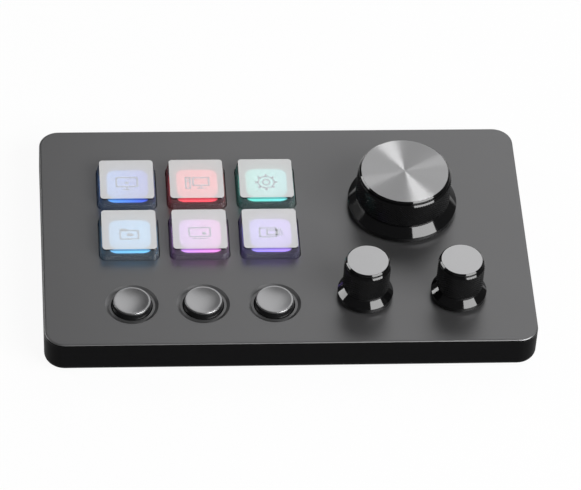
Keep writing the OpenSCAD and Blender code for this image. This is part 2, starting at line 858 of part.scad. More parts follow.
face_plate();
housing();
bottom_cover();
rubber_feet();
case_screws();
main_board();
board_screws();
key_guide();
dome_mat();
display_tails();
display_sockets();
usb_socket();
usb_tongue();
main_chip();
board_parts();
encoder(main_spot);  // main_encoder
encoder(left_spot);  // left_encoder
encoder(right_spot);  // right_encoder
bushing(main_spot);  // main_bushing
bushing(left_spot);  // left_bushing
bushing(right_spot);  // right_bushing
encoder_nuts();
keycap(0);  // keycap_1
keycap(1);  // keycap_2
keycap(2);  // keycap_3
keycap(3);  // keycap_4
keycap(4);  // keycap_5
keycap(5);  // keycap_6
display(0);  // display_1
display(1);  // display_2
display(2);  // display_3
display(3);  // display_4
display(4);  // display_5
display(5);  // display_6
key_frame(0);  // key_frame_1
key_frame(1);  // key_frame_2
key_frame(2);  // key_frame_3
key_frame(3);  // key_frame_4
key_frame(4);  // key_frame_5
key_frame(5);  // key_frame_6
button_cap(0);  // button_cap_1
button_cap(1);  // button_cap_2
button_cap(2);  // button_cap_3
plunger(main_spot);  // main_plunger
plunger(left_spot);  // left_plunger
plunger(right_spot);  // right_plunger
shaft(main_spot, big_top);  // main_shaft
shaft(left_spot, small_top);  // left_shaft
shaft(right_spot, small_top);  // right_shaft
knob(main_spot, big_skirt_r, big_grip_r, big_disc_r, big_top, big_ribs);  // main_knob
knob(left_spot, small_skirt_r, small_grip_r, small_disc_r, small_top, small_ribs);  // left_knob
knob(right_spot, small_skirt_r, small_grip_r, small_disc_r, small_top, small_ribs);  // right_knob
knob_disc(main_spot, big_disc_r, big_top);  // main_disc
knob_disc(left_spot, small_disc_r, small_top);  // left_disc
knob_disc(right_spot, small_disc_r, small_top);  // right_disc
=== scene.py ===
"""Looks for a desk keypad: six lit display keys, three round buttons and three turn-and-press knobs."""

import math

import bpy
from mathutils import Matrix, Vector


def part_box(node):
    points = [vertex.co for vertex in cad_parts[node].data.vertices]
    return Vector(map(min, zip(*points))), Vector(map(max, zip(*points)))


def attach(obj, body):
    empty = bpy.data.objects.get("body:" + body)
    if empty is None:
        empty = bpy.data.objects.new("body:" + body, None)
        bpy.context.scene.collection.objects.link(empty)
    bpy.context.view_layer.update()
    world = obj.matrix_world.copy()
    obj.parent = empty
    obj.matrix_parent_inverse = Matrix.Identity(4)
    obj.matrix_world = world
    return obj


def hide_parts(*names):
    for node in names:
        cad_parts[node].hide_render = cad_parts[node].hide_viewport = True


bl_info = {
    "name": "Display Keypad",
    "version": (1, 0, 0),
    "blender": (4, 5, 0),
    "location": "View3D > Sidebar > Keypad",
    "description": "Dresses the packed keypad with finishes, lit pictures and a studio",
    "category": "Object",
}

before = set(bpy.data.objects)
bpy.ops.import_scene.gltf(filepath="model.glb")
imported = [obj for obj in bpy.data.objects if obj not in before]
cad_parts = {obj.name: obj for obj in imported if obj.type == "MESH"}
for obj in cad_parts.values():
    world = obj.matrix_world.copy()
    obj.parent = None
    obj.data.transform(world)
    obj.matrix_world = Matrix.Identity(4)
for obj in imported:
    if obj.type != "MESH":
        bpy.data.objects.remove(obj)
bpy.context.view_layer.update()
MM = 0.001
KEYS = range(1, 7)
KNOBS = ("main", "left", "right")


def middle(node):
    """The middle of a CAD node's box."""
    low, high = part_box(node)
    return (low + high) / 2


def of_keys(kind):
    """The names of one kind of CAD node in all the keys."""
    return [f"{kind}_{key}" for key in KEYS]


def of_knobs(kind):
    """The names of one kind of CAD node in all the knobs."""
    return [f"{knob}_{kind}" for knob in KNOBS]


PLATE_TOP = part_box("face_plate")[1].z
CAP_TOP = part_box("keycap_1")[1].z
PICTURE_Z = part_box("display_1")[1].z
PICTURE_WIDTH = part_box("display_1")[1].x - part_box("display_1")[0].x

# The photo's camera: its right, up and back axes, the point it looks at, how far off it is, and its lens
CAMERA_AXES = (
    (0.99686643, -0.06176458, 0.04942126),
    (0.01009894, 0.7190284, 0.69490731),
    (-0.07845595, -0.69223066, 0.71739903),
)
CAMERA_TARGET = Vector((1.407, -4.243, 11.0)) * MM
CAMERA_AWAY = 1.123946
CAMERA_LENS, CAMERA_SENSOR = 254.56, 36

# Each lamp's azimuth from +X, elevation and roll in degrees, its distance, width and height in metres,
# its radiance, and the radiance of the twin in its place that only glossy surfaces see
LAMPS = {
    "back_softbox": (61.5, 38, 0, 0.7, 0.64, 0.62, 1.05, 0.0),
    "left_strip": (158.7, 21, 27, 0.9, 0.54, 0.11, 7.0, 9.0),
    "right_softbox": (-42, 38, -15, 1.5, 1.1, 0.92, 9.0, 6.0),
}

# The floor's width, how far it stays bright round the part and the width over which it darkens beyond
# that, all in metres, and how much of what the camera sees of it is its own white glow
FLOOR_WIDTH = 12
FLOOR_BRIGHT = FLOOR_FADE = 0.16
FLOOR_GLOW = 0.94


# ---- Sizes and colours ----


def length(name, text, value):
    return bpy.props.FloatProperty(
        name=name, description=text, default=value, subtype="DISTANCE", unit="LENGTH"
    )


def colour(name, text, value):
    return bpy.props.FloatVectorProperty(
        name=name, description=text, default=value, subtype="COLOR", size=3, min=0, max=1
    )


def amount(name, text, value):
    return bpy.props.FloatProperty(name=name, description=text, default=value, min=0)


class KeypadSizes(bpy.types.PropertyGroup):
    """Sizes of the pieces that are added to the frame."""

    film_inset: length("Film inset", "Distance of a key's top film from the cap's box", 0.68 * MM)
    film_corner: length("Film corner", "Corner radius of a key's top film", 1.0 * MM)
    film_thickness: length("Film thickness", "Thickness of a key's top film", 0.02 * MM)
    picture_depth: length("Picture depth", "How far a lit picture stands in its clear block", 0.05 * MM)
    picture_half: length("Lit area", "Half the width of the lit area", 5.65 * MM)
    picture_low: length("Lit area's front", "Lit area's front edge from the key's middle", 5.75 * MM)
    picture_high: length("Lit area's back", "Lit area's back edge from the key's middle", 4.85 * MM)
    picture_round: length("Lit corner", "Corner radius of the lit area", 2.4 * MM)
    picture_blur: length("Lit edge", "Width of the lit area's soft edge", 0.2 * MM)
    sign_shift: length("Pictogram shift", "How far a pictogram stands in front of the key's middle", 1.6 * MM)
    line: length("Pictogram line", "Line width of the pictograms", 0.45 * MM)
    knurl_row: length("Knurl row", "Height of one row of the knobs' diamond knurl", 0.35 * MM)
    knurl_depth: length("Knurl depth", "Depth of the knobs' diamond knurl", 0.18 * MM)


class KeypadColours(bpy.types.PropertyGroup):
    """Colours and strengths of the finishes."""

    plate: colour("Plate", "Grey anodised face plate", (0.165, 0.165, 0.167))
    shell: colour("Shell", "Black moulded shell", (0.003, 0.003, 0.0033))
    knob: colour("Knob", "Glossy black knobs", (0.003, 0.003, 0.0032))
    # Painted highlight: the pale crest colour stands in for glints of light on the knurl's facets.
    crest_sheen: colour("Knurl crests", "Crests of the knobs' knurl", (0.02, 0.02, 0.021))
    button: colour("Button", "Satin button caps", (0.36, 0.36, 0.365))
    disc: colour("Disc", "Spun metal discs", (0.5, 0.5, 0.505))
    film: colour("Film", "Pale film on the keys", (0.93, 0.93, 0.93))
    ink: colour("Ink", "Pictograms printed on the films", (0.61, 0.63, 0.66))
    glow: amount("Glow", "Strength of the lit pictures", 1.3)


PICTURE_COLOURS = {
    1: ((0.105, 0.35, 0.91), (0.05, 0.09, 0.68)),
    2: ((0.98, 0.08, 0.11), (0.98, 0.08, 0.12)),
    3: ((0.14, 0.73, 0.62), (0.17, 0.73, 0.74)),
    4: ((0.17, 0.49, 0.87), (0.17, 0.56, 0.97)),
    5: ((0.63, 0.31, 0.94), (0.87, 0.28, 0.80)),
    6: ((0.35, 0.28, 1.0), (0.45, 0.28, 1.0)),
}


# ---- Finishes ----


class Value:
    """Wraps a shader socket, so that arithmetic on it adds Math nodes."""

    def __init__(self, finish, socket):
        self.finish, self.socket = finish, socket

    def math(self, operation, *others):
        return self.finish.add("ShaderNodeMath", {"operation": operation}, dict(enumerate((self, *others))))

    def __add__(self, other):
        return self.math("ADD", other)

    __radd__ = __add__

    def __sub__(self, other):
        return self.math("SUBTRACT", other)

    def __rsub__(self, other):
        return self.finish.add("ShaderNodeMath", {"operation": "SUBTRACT"}, {0: other, 1: self})

    def __mul__(self, other):
        return self.math("MULTIPLY", other)

    __rmul__ = __mul__

    def __truediv__(self, other):
        return self.math("DIVIDE", other)

    def __pow__(self, other):
        return self.math("POWER", other)

    def __abs__(self):
        return self.math("ABSOLUTE")

    def __lt__(self, other):
        return self.math("LESS_THAN", other)

    def __gt__(self, other):
        return self.math("GREATER_THAN", other)

    def at_least(self, low):
        return self.math("MAXIMUM", low)

    def clamped(self):
        return self.math("MINIMUM", 1.0).at_least(0.0)

    def output(self, name):
        return Value(self.finish, self.socket.node.outputs[name])


class Finish:
    """A material made of nodes, with one method for any node that isn't plain arithmetic."""

    def __init__(self, name, **sockets):
        self.material = bpy.data.materials.new(name)
        self.material.use_nodes = True
        self.tree = self.material.node_tree
        self.shader = self.tree.nodes["Principled BSDF"]
        self.set(**sockets)

    def plug(self, socket, value):
        if isinstance(value, Value):
            self.tree.links.new(value.socket, socket)
        elif socket.type == "RGBA" and len(value) == 3:
            socket.default_value = (*value, 1)
        else:
            socket.default_value = value

    def set(self, **sockets):
        for name, value in sockets.items():
            self.plug(self.shader.inputs[name.replace("_", " ")], value)
        return self

    def add(self, kind, settings=None, sockets=None):
        """A node of a kind, with its settings and then the values or links of its sockets."""
        node = self.tree.nodes.new(kind)
        for name, value in (settings or {}).items():
            setattr(node, name, value)
        for key, value in (sockets or {}).items():
            self.plug(node.inputs[key], value)
        return Value(self, next(s for s in node.outputs if s.enabled))

    def spot(self, centre=(0, 0, 0)):
        """Object coordinates, measured from a centre."""
        place = self.add("ShaderNodeTexCoord").output("Object")
        return self.add("ShaderNodeMapping", {}, {"Vector": place, "Location": tuple(-c for c in centre)})

    def axes(self, centre=(0, 0, 0)):
        split = self.add("ShaderNodeSeparateXYZ", {}, {"Vector": self.spot(centre)})
        return split, split.output("Y"), split.output("Z")

    def noise(self, scale, detail=2.0):
        return self.add("ShaderNodeTexNoise", {}, {"Vector": self.spot(), "Scale": scale, "Detail": detail})

    def rings(self, reach, scale):
        """Noise that changes only with the distance from an axis."""
        return self.add(
            "ShaderNodeTexNoise", {"noise_dimensions": "1D"}, {"W": reach, "Scale": scale, "Detail": 2.0}
        )

    def bump(self, height, distance, strength=1.0):
        return self.add("ShaderNodeBump", {}, {"Height": height, "Distance": distance, "Strength": strength})

    def mix(self, factor, a, b):
        mixer = self.add("ShaderNodeMix", {"data_type": "RGBA"}, {"Factor": factor, 6: a, 7: b})
        return Value(self, mixer.socket.node.outputs[2])


def tinted(shade, factor):
    """A shade made darker or lighter."""
    return tuple(c * factor for c in shade)


def moulded(name, shade, roughness, grain=3000, depth=0.006 * MM, metal=0.0, specular=0.5, spread=0.15):
    """A plain moulded or cast finish: fine grain, with cloudy colour and roughness."""
    finish = Finish(name, Metallic=metal, Specular_IOR_Level=specular)
    cloud = finish.noise(140, 3)
    finish.set(
        Base_Color=finish.mix(cloud, tinted(shade, 1 - spread), tinted(shade, 1 + spread)),
        Roughness=cloud * 0.1 + (roughness - 0.05),
        Normal=finish.bump(finish.noise(grain, 2), depth),
    )
    return finish.material


def plate_finish(shade):
    """Bead-blasted and anodised sheet metal, its outer edge below the top painted near black as shade."""
    edge_drop, edge_reach, painted_shade_edge_colour = 0.25 * MM, 4 * MM, (0.005, 0.005, 0.005)
    finish = Finish("anodised_plate", Specular_IOR_Level=0.3)
    low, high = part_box("face_plate")
    x, y, z = finish.axes(((low.x + high.x) / 2, (low.y + high.y) / 2, PLATE_TOP - edge_drop))
    inward = (abs(x) - (high.x - low.x) / 2).at_least(abs(y) - (high.y - low.y) / 2)
    # Painted shade: below its top, the plate's outer edge is coloured near black, as an edge turned away from
    # the light.
    edge = (z < 0) * (inward > -edge_reach)
    cloud = finish.noise(60, 3)
    blast = finish.noise(9000, 3)
    top_shade = finish.mix(cloud, tinted(shade, 0.97), tinted(shade, 1.03))
    finish.set(
        Base_Color=finish.mix(edge, top_shade, painted_shade_edge_colour),
        Metallic=edge * 0.2 + 0.8,
        Roughness=cloud * 0.03 + blast * 0.04 + 0.33,
        Normal=finish.bump(blast, 0.004 * MM, 0.2),
    )
    return finish.material


def knob_finish(name, shade):
    """Glossy black plastic with a trace of wear."""
    finish = Finish(name, Base_Color=shade, Specular_IOR_Level=0.5)
    finish.set(Roughness=finish.noise(700, 4) * 0.03 + 0.05)
    return finish.material


def grip_finish(name, shade, crest_sheen, centre, radius, depth):
    """The same plastic, dulled by the knurl's fine tool marks, with a pale painted highlight on its crests.
    """
    finish = Finish(name, Specular_IOR_Level=0.12)
    x, y, _ = finish.axes(centre)
    # Painted highlight: the knurl's crests are coloured paler, in place of the glints that light would give
    # them.
    crest_sheen_mask = ((x * x + y * y) ** 0.5 - (radius - depth)) / depth
    finish.set(
        Base_Color=finish.mix(crest_sheen_mask.clamped() ** 2, shade, crest_sheen),
        Roughness=finish.noise(2600, 3) * 0.1 + 0.2,
    )
    return finish.material


def spun_disc_finish(name, shade, centre, turning, roughness, metal):
    """Aluminium turned on a lathe: fine rings round the disc's middle."""
    finish = Finish(name, Metallic=metal, Anisotropic=turning, Anisotropic_Rotation=0.25)
    x, y, _ = finish.axes(centre)
    reach = (x * x + y * y) ** 0.5
    finish.set(
        Base_Color=finish.mix(finish.rings(reach, 2600), tinted(shade, 0.97), tinted(shade, 1.03)),
        Roughness=finish.rings(reach, 26000) * 0.04 + (roughness - 0.02),
    )
    return finish.material


def clear_cap_finish(key):
    """Clear acrylic with a trace of haze, a darker band under its top, and ground sides given a faint painted
    glow in the picture's colour, in place of the display's light scattered in them.
    """
    clear_shade, band_shade = (0.93, 0.94, 0.95), (0.3, 0.3, 0.31)
    band_top, band_low = -0.03 * MM, -0.5 * MM
    finish = Finish(f"clear_acrylic_{key}", IOR=1.49, Transmission_Weight=0.95)
    _, _, z = finish.axes((0, 0, CAP_TOP))
    side = z < band_low
    band = (z < band_top) * (z > band_low)
    finish.set(
        Base_Color=finish.mix(band, clear_shade, band_shade),
        Roughness=side * 0.22 + finish.noise(1800, 3) * 0.03 + 0.01,
        # Painted light: the ground sides emit a little of the picture's colour, standing in for the display's
        # light scattered in the acrylic.
        Emission_Color=finish.mix(side, (0, 0, 0), PICTURE_COLOURS[key][0]),
        Emission_Strength=0.018,
    )
    return finish.material


def film_finish(shade):
    """Thin pale film that lets a little of the picture through."""
    finish = Finish("key_film", Specular_IOR_Level=0.5, Alpha=0.52)
    cloud = finish.noise(900, 3)
    finish.set(
        Base_Color=finish.mix(cloud, tinted(shade, 0.99), tinted(shade, 1.01)),
        Roughness=cloud * 0.06 + 0.3,
    )
    return finish.material


def picture_finish(key, centre, sizes, strength):
    """A lit display: one soft-edged rounded square whose colour drifts from side to side."""
    off_centre, halo, halo_reach = 0.2 * MM, 0.25, 2.5 * MM
    finish = Finish(f"picture_{key}", Base_Color=(0.01, 0.01, 0.012), Roughness=0.3)
    deep = (sizes.picture_low + sizes.picture_high) / 2
    x, y, _ = finish.axes(centre + Vector((off_centre, sizes.picture_high - deep, 0)))
    dx = (abs(x) - (sizes.picture_half - sizes.picture_round)).at_least(0.0)
    dy = (abs(y) - (deep - sizes.picture_round)).at_least(0.0)
    away = (dx * dx + dy * dy) ** 0.5
    mask = ((sizes.picture_round - away) / sizes.picture_blur + 0.5).clamped()
    glow = (halo - away / halo_reach * halo).at_least(0.0)
    first, second = PICTURE_COLOURS[key]
    side = x / (2 * sizes.picture_half) + 0.5
    tint = finish.mix(side, first, second)
    lit = finish.mix((mask + glow).math("MINIMUM", 1.0), (0, 0, 0), tint)
    finish.set(Emission_Color=lit, Emission_Strength=strength)
    return finish.material


def dress(nodes, material):
    """Gives CAD nodes a material."""
    for node in nodes:
        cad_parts[node].data.materials[0] = material


# ---- Modelling ----

# How much of the flats beside a rounded corner of a profile is held flat, in millimetres
HOLD = 0.02
# The leeway in telling which points lie on a surface
NEAR = 0.01 * MM
# Half the height of a pictogram's print, and a film's height above its cap
PRINT = 0.004 * MM


def deselect():
    if bpy.context.mode != "OBJECT":
        bpy.ops.object.mode_set(mode="OBJECT")
    bpy.ops.object.select_all(action="DESELECT")


def settle(piece, name):
    """Names a piece and moves its place into its mesh."""
    deselect()
    piece.name = piece.data.name = name
    piece.select_set(True)
    bpy.context.view_layer.objects.active = piece
    bpy.ops.object.transform_apply(location=True, rotation=True, scale=True)
    return piece


def raise_sheet(thickness):
    """Gives the flat faces being edited a thickness and turns the shell's faces outwards."""
    bpy.ops.mesh.select_all(action="SELECT")
    bpy.ops.mesh.extrude_region_move(TRANSFORM_OT_translate={"value": (0, 0, thickness)})
    bpy.ops.mesh.select_all(action="SELECT")
    bpy.ops.mesh.normals_make_consistent(inside=False)
    bpy.ops.object.mode_set(mode="OBJECT")


def rounded_sheet(name, centre, width, depth, corner, low, thickness, hollow=0.0, steps=6):
    """A flat plate with round corners, or the outline of one where hollow is its line width."""
    deselect()
    bpy.ops.mesh.primitive_plane_add(size=1, location=(centre[0], centre[1], low))
    bpy.context.object.scale = (width, depth, 1)
    sheet = settle(bpy.context.object, name)
    bpy.ops.object.mode_set(mode="EDIT")
    bpy.ops.mesh.select_all(action="SELECT")
    bpy.ops.mesh.bevel(offset=corner, segments=steps, affect="VERTICES")
    if hollow:
        hollow_out(hollow)
    raise_sheet(thickness)
    return sheet


def hollow_out(line):
    """Leaves a line of the face being edited, along its edge."""
    bpy.ops.mesh.select_all(action="SELECT")
    bpy.ops.mesh.inset(thickness=line, depth=0)
    bpy.ops.mesh.delete(type="FACE")


def round_sheet(name, centre, radius, low, thickness, hollow=0.0, sides=32):
    """A flat disc, or a ring where hollow is its line width."""
    deselect()
    bpy.ops.mesh.primitive_circle_add(
        vertices=sides, radius=radius, fill_type="NGON", location=(centre[0], centre[1], low)
    )
    sheet = settle(bpy.context.object, name)
    bpy.ops.object.mode_set(mode="EDIT")
    if hollow:
        hollow_out(hollow)
    raise_sheet(thickness)
    return sheet


def softened(profile, steps=4):
    """Rounds a profile of (radius, height, rounding) points, and holds the flats beside each corner."""
    points = []
    for number, (radius, height, rounding) in enumerate(profile):
        corner = Vector((radius, height))
        if not rounding:
            points.append(corner)
            continue
        back = (Vector(profile[number - 1][:2]) - corner).normalized()
        ahead = (Vector(profile[number + 1][:2]) - corner).normalized()
        half = back.angle(ahead) / 2
        middle_point = corner + (back + ahead).normalized() * rounding / math.sin(half)
        start = corner + back * rounding / math.tan(half) - middle_point
        end = corner + ahead * rounding / math.tan(half) - middle_point
        points.append(middle_point + start + back * HOLD)
        for step in range(steps + 1):
            points.append(middle_point + start.slerp(end, step / steps).normalized() * rounding)
        points.append(middle_point + end + ahead * HOLD)
    return points


def turned(name, centre, points, sides):
    """A closed turned body: a round face, carried along the profile in small steps."""
    deselect()
    (radius, level), *rest = points
    bpy.ops.mesh.primitive_circle_add(
        vertices=sides, radius=radius, fill_type="NGON", location=(centre.x, centre.y, level)
    )
    body = settle(bpy.context.object, name)
    bpy.ops.object.mode_set(mode="EDIT")
    bpy.ops.mesh.select_all(action="SELECT")
    for next_radius, next_level in rest:
        bpy.ops.mesh.extrude_region_move(TRANSFORM_OT_translate={"value": (0, 0, next_level - level)})
        grown = next_radius / radius
        bpy.ops.transform.resize(value=(grown, grown, 1), center_override=(centre.x, centre.y, next_level))
        radius, level = next_radius, next_level
    bpy.ops.mesh.select_all(action="SELECT")
    bpy.ops.mesh.normals_make_consistent(inside=False)
    bpy.ops.object.mode_set(mode="OBJECT")
    return body


def pick(piece, kind, wanted):
    """Selects the vertices or faces of a piece that are wanted, and starts editing them."""
    bpy.ops.object.mode_set(mode="EDIT")
    bpy.ops.mesh.select_mode(type="VERT" if kind == "vertices" else "FACE")
    bpy.ops.mesh.select_all(action="DESELECT")
    bpy.ops.object.mode_set(mode="OBJECT")
    for element in getattr(piece.data, kind):
        element.select = wanted(element)
    bpy.ops.object.mode_set(mode="EDIT")


def knurl(piece, centre, radius, low, row, rows, sides, depth):
    """Presses a diamond knurl into the rows of a turned body's grip, which takes its second material."""

    def spot(point):
        x, y = point.x - centre.x, point.y - centre.y
        level = (point.z - low) / row
        return math.hypot(x, y), math.atan2(y, x), level

    def valley(vertex):
        reach, angle, level = spot(vertex.co)
        on_grip = abs(reach - radius) < NEAR and -0.1 < level < rows + 0.1
        return on_grip and (round(angle * sides / math.tau) + round(level)) % 2 == 1

    def in_grip(face):
        reach, _, level = spot(face.center)
        return reach > radius - depth - NEAR and 0 < level < rows

    pick(piece, "vertices", valley)
    pressed = 1 - depth / radius
    bpy.ops.transform.resize(value=(pressed, pressed, 1), center_override=(centre.x, centre.y, low))
    pick(piece, "polygons", in_grip)
    bpy.ops.mesh.quads_convert_to_tris(quad_method="SHORTEST_DIAGONAL")
    bpy.ops.mesh.faces_shade_flat()
    piece.active_material_index = 1
    bpy.ops.object.material_slot_assign()
    bpy.ops.object.mode_set(mode="OBJECT")


def smooth(piece, angle):
    """Shades a piece smooth, apart from its edges sharper than an angle in degrees."""
    deselect()
    piece.select_set(True)
    bpy.context.view_layer.objects.active = piece
    bpy.ops.object.shade_smooth_by_angle(angle=math.radians(angle))


def joined(name, parts):
    """One piece made of several."""
    deselect()
    for part in parts:
        part.select_set(True)
    bpy.context.view_layer.objects.active = parts[0]
    bpy.ops.object.join()
    return settle(bpy.context.object, name)


def copy_to(piece, name, shift):
    """Another piece of the same shape, with its own mesh."""
    twin = bpy.data.objects.new(name, piece.data.copy())
    twin.data.name = name
    twin.data.transform(Matrix.Translation(shift))
    bpy.context.scene.collection.objects.link(twin)
    return twin


def finished(piece, material, body):
    """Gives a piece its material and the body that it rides."""
    piece.data.materials.clear()
    piece.data.materials.append(material)
    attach(piece, body)
    return piece


# Each pictogram is a list of flat forms, in millimetres from the key's middle:
# ("frame", x, y, width, depth, corner), ("bar", x, y, width, depth), ("ring", x, y, radius)
# and ("dot", x, y, radius)
PICTOGRAMS = {
    1: [("frame", 0, 0.5, 6.2, 4.0, 0.4), ("bar", 0, -1.9, 0.6, 0.7), ("bar", 0, -2.4, 2.6, 0.35),
        ("bar", 0, 0.2, 1.0, 0.8)],
    2: [("frame", -2.4, 0, 1.7, 4.6, 0.3), ("bar", -2.4, 1.2, 0.8, 0.3), ("bar", -2.4, 0.5, 0.8, 0.3),
        ("frame", 1.2, 0.5, 4.8, 3.4, 0.3), ("bar", 1.2, -1.6, 0.6, 0.6), ("bar", 1.2, -2.1, 2.2, 0.35)],
    3: [("ring", 0, 0, 2.45), ("ring", 0, 0, 1.2), *(
        ("dot", 2.75 * math.cos(turn * math.pi / 4), 2.75 * math.sin(turn * math.pi / 4), 0.4)
        for turn in range(8))],
    4: [("frame", 0, -0.4, 5.4, 3.6, 0.5), ("bar", -1.5, 1.65, 2.2, 0.6), ("bar", 0.2, -0.4, 1.8, 1.0)],
    5: [("frame", 0, 0.4, 6.2, 3.8, 0.7), ("bar", 0, -2.1, 4.2, 0.3), ("dot", 1.2, -0.1, 0.6)],
    6: [("frame", -0.6, 0, 5.0, 3.8, 0.3), ("frame", 0.6, 0, 3.4, 2.2, 0.3), ("bar", 2.6, 0, 0.3, 3.2),
        ("bar", 3.2, 0, 0.3, 2.4)],
}


def pictogram(key, centre, low, high, line):
    """The flat forms of one key's pictogram, raised from level low to level high."""
    parts = []
    for number, (form, x, y, *sizes) in enumerate(PICTOGRAMS[key]):
        name = f"form_{key}_{number}"
        place = (centre[0] + x * MM, centre[1] + y * MM)
        sizes = [s * MM for s in sizes]
        if form == "frame":
            parts.append(rounded_sheet(name, place, sizes[0], sizes[1], sizes[2], low, high - low, line))
        elif form == "bar":
            corner = min(sizes) * 0.3
            parts.append(rounded_sheet(name, place, sizes[0], sizes[1], corner, low, high - low, steps=2))
        else:
            parts.append(round_sheet(name, place, sizes[0], low, high - low, line if form == "ring" else 0))
    return joined(f"pictogram_{key}", parts)


# A knob from its bore to its grip, as (radius, height above the plate, rounding), in millimetres
KNOB_FORMS = {
    "large": {
        "grip": 13.05, "grip_low": 4.95, "sides": 224,
        "inside": lambda roof: [(3.02, roof, 0), (3.02, 4.95, 0), (5, 4.95, 0), (5, roof - 1, 0),
                                (11.25, roof - 1, 0), (11.25, 0.75, 0)],
        "skirt": [(15.05, 0.75, 0.15), (15.05, 2.0, 0.12), (12.95, 4.31, 0.2), (12.7, 4.31, 0.05),
                  (12.7, 4.6, 0)],
    },
    "small": {
        "grip": 6.4, "grip_low": 4.7, "sides": 112,
        "inside": lambda roof: [(3.02, roof, 0), (3.02, 4.95, 0), (4.0, 4.95, 0), (4.0, 2.9, 0),
                                (6.17, 2.9, 0), (6.17, 0.75, 0)],
        "skirt": [(7.55, 0.75, 0.15), (7.55, 2.0, 0.12), (5.9, 3.6, 0.15), (5.9, 4.25, 0)],
    },
}


# ---- Operators ----


def standing(right, up, back, place):
    """The matrix of a thing with these axes at a place."""
    return Matrix([(right[i], up[i], back[i], place[i]) for i in range(3)] + [(0, 0, 0, 1)])


def floor_finish():
    """A pale floor that catches the part's shadow and looks white round it, straight or in a gloss."""
    far_shade, near_shade = (0.08, 0.08, 0.08), (0.9, 0.9, 0.9)
    finish = Finish("pale_floor", Roughness=0.8, Specular_IOR_Level=0.2)
    path = finish.add("ShaderNodeLightPath")
    seen = path.output("Is Camera Ray") + path.output("Is Glossy Ray") + path.output("Is Transmission Ray")
    seen = seen.math("MINIMUM", 1.0)
    glow = finish.add("ShaderNodeEmission", {}, {"Color": (1, 1, 1), "Strength": 1.0})
    x, y, _ = finish.axes()
    near = (1 + FLOOR_BRIGHT / FLOOR_FADE - (x * x + y * y) ** 0.5 / FLOOR_FADE).clamped()
    finish.set(Base_Color=finish.mix(near, far_shade, near_shade))
    surface = Value(finish, finish.shader.outputs[0])
    blend = finish.add("ShaderNodeMixShader", {}, {0: seen * near * FLOOR_GLOW, 1: surface, 2: glow})
    finish.tree.links.new(blend.socket, finish.tree.nodes["Material Output"].inputs["Surface"])
    return finish.material


def hang_lamp(scene, name, azimuth, elevation, roll, away, wide, high, radiance, glint):
    """A rectangular lamp that faces the part, and a second one in its place that only glosses see."""
    a, e, turn = math.radians(azimuth), math.radians(elevation), math.radians(roll)
    out = Vector((math.cos(a) * math.cos(e), math.sin(a) * math.cos(e), math.sin(e)))
    level_axis = Vector((-math.sin(a), math.cos(a), 0))
    along = level_axis * math.cos(turn) + out.cross(level_axis) * math.sin(turn)
    for kind, level in (("soft", radiance), ("gloss", glint)):
        if not level:
            continue
        lamp = bpy.data.lights.new(f"{name}_{kind}", "AREA")
        lamp.shape, lamp.size, lamp.size_y = "RECTANGLE", wide, high
        lamp.energy = level * wide * high * math.pi
        holder = bpy.data.objects.new(lamp.name, lamp)
        holder.matrix_world = standing(along, out.cross(along), out, out * away)
        holder.visible_camera = False
        holder.visible_diffuse = kind == "soft"
        scene.collection.objects.link(holder)


class KEYPAD_OT_stage(bpy.types.Operator):
    """Make the floor, the soft lamps, the world and the camera"""

    bl_idname = "keypad.stage"
    bl_label = "Stage"

    def execute(self, context):
        scene = context.scene
        scene.view_settings.view_transform = "Standard"
        world = bpy.data.worlds.new("studio")
        world.use_nodes = True
        world.node_tree.nodes["Background"].inputs["Color"].default_value = (0.08, 0.08, 0.082, 1)
        scene.world = world

        deselect()
        bpy.ops.mesh.primitive_plane_add(size=FLOOR_WIDTH, location=(0, 0, 0))
        floor = settle(context.object, "floor")
        floor.data.materials.append(floor_finish())

        for name, lamp in LAMPS.items():
            hang_lamp(scene, name, *lamp)

        lens = bpy.data.cameras.new("camera")
        lens.lens, lens.sensor_width = CAMERA_LENS, CAMERA_SENSOR
        lens.clip_start, lens.clip_end = 0.05, 50
        camera = bpy.data.objects.new("camera", lens)
        camera.matrix_world = standing(*CAMERA_AXES, CAMERA_TARGET + Vector(CAMERA_AXES[2]) * CAMERA_AWAY)
        scene.collection.objects.link(camera)
        scene.camera = camera
        return {"FINISHED"}


class KEYPAD_OT_case_finish(bpy.types.Operator):
    """Finish the plate, the shell, the feet, the screws and the socket"""

    bl_idname = "keypad.case_finish"
    bl_label = "Case finishes"

    def execute(self, context):
        colours = context.scene.keypad_colours
        dress(["face_plate"], plate_finish(colours.plate))
        dress(["housing", "bottom_cover"], moulded(
            "black_shell_plastic", colours.shell, 0.45, 5200, 0.010 * MM, specular=0.03))
        dress(["rubber_feet"], moulded(
            "soft_rubber", (0.02, 0.02, 0.02), 0.8, 4200, 0.02 * MM, specular=0.3))
        dress(["case_screws", "board_screws"], moulded(
            "screw_metal", (0.5, 0.5, 0.52), 0.3, 2600, metal=1.0))
        dress(["usb_socket"], moulded("socket_metal", (0.6, 0.6, 0.62), 0.28, 2200, metal=1.0, spread=0.05))
        dress(["usb_tongue"], moulded("tongue_plastic", (0.012, 0.012, 0.013), 0.45))
        return {"FINISHED"}


